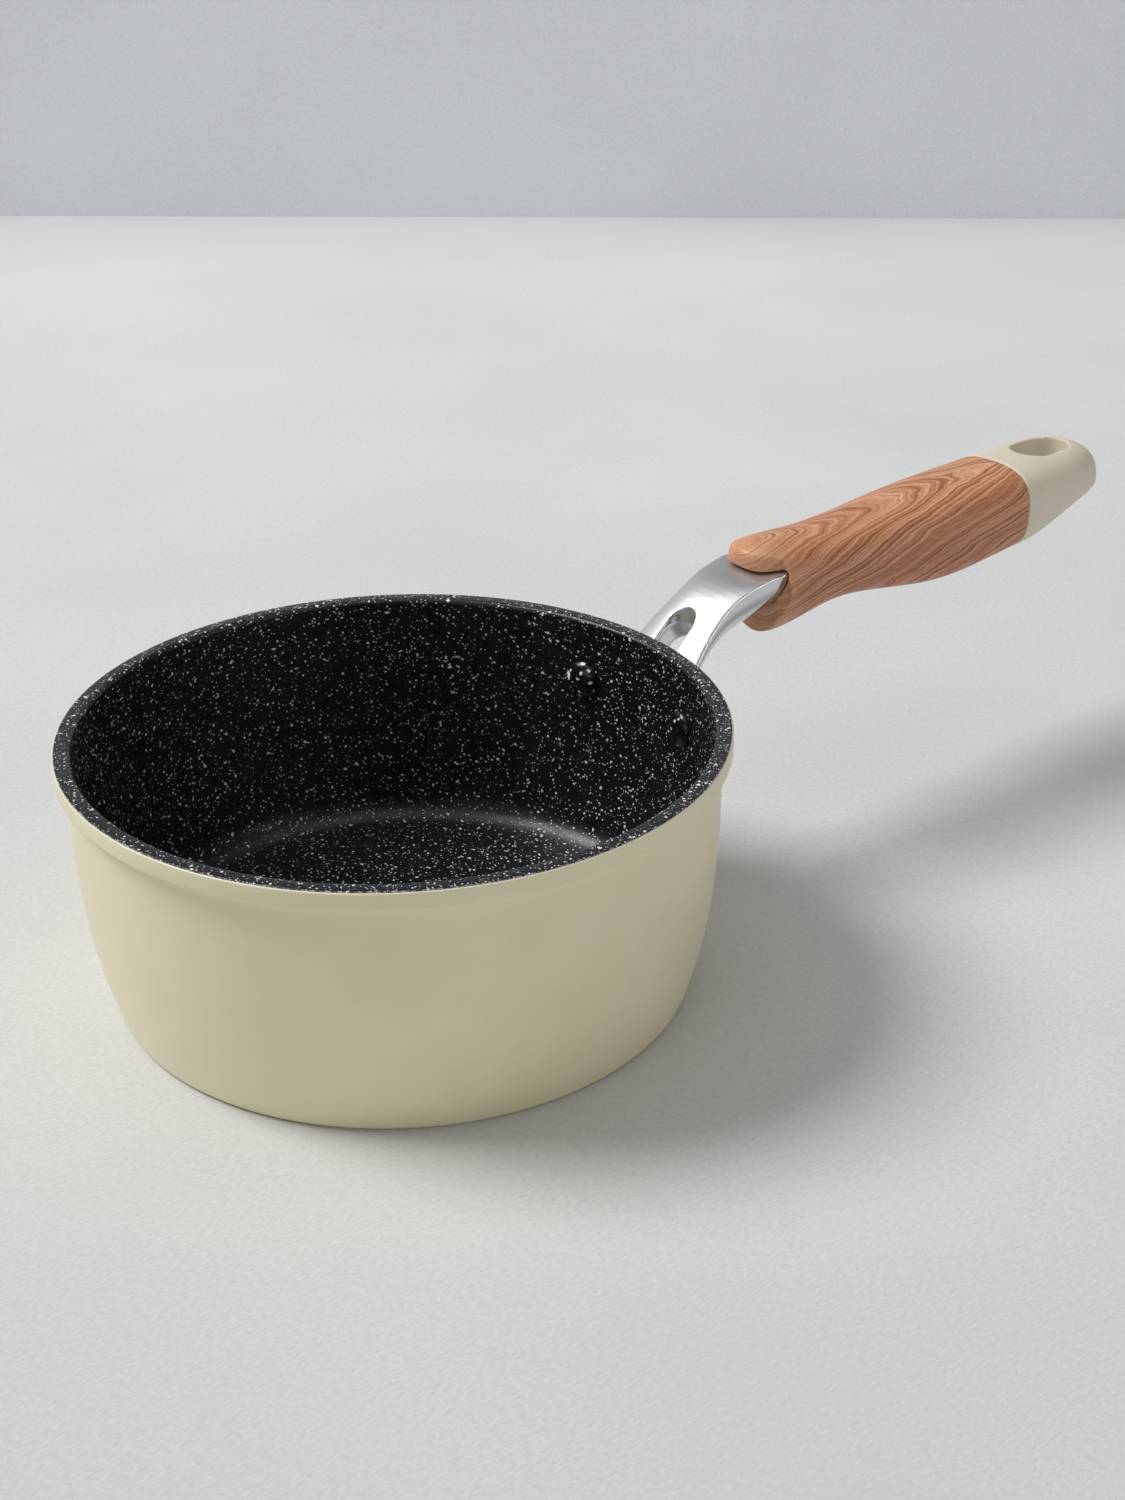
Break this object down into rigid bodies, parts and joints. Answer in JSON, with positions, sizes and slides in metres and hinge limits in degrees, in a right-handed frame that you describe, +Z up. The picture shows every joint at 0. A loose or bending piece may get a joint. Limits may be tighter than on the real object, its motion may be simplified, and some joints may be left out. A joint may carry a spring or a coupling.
{
  "type": "saucepan",
  "caption": "Cast saucepan with a rim band, speckled non-stick inside, riveted fork bracket and a wood-effect grip with a hanging hole.",
  "frame": {"origin": "centre of the pan's underside, on the surface it stands on", "axes": "+X from the pan along the handle, +Z up through the open top, +Y to the left of the handle"},
  "size_m": [0.384, 0.188, 0.1004],
  "materials": {
    "pan_enamel": "satin",
    "nonstick_coat": "satin",
    "plate_steel": "satin",
    "rivet_coat": "satin",
    "bracket_chrome": "polished",
    "wood_film": "satin",
    "cap_cream": "matte",
    "fastener_steel": "satin"
  },
  "bodies": {
    "root": {"pan_body": "pan_enamel", "nonstick_lining": "nonstick_coat", "induction_plate": "plate_steel", "rivet_left": "rivet_coat", "rivet_right": "rivet_coat", "handle_bracket": "bracket_chrome", "grip": "wood_film", "end_cap": "cap_cream", "tie_rod": "fastener_steel", "tie_nut": "fastener_steel", "flat_washer": "fastener_steel", "spring_washer": "fastener_steel"}
  },
  "joints": []
}
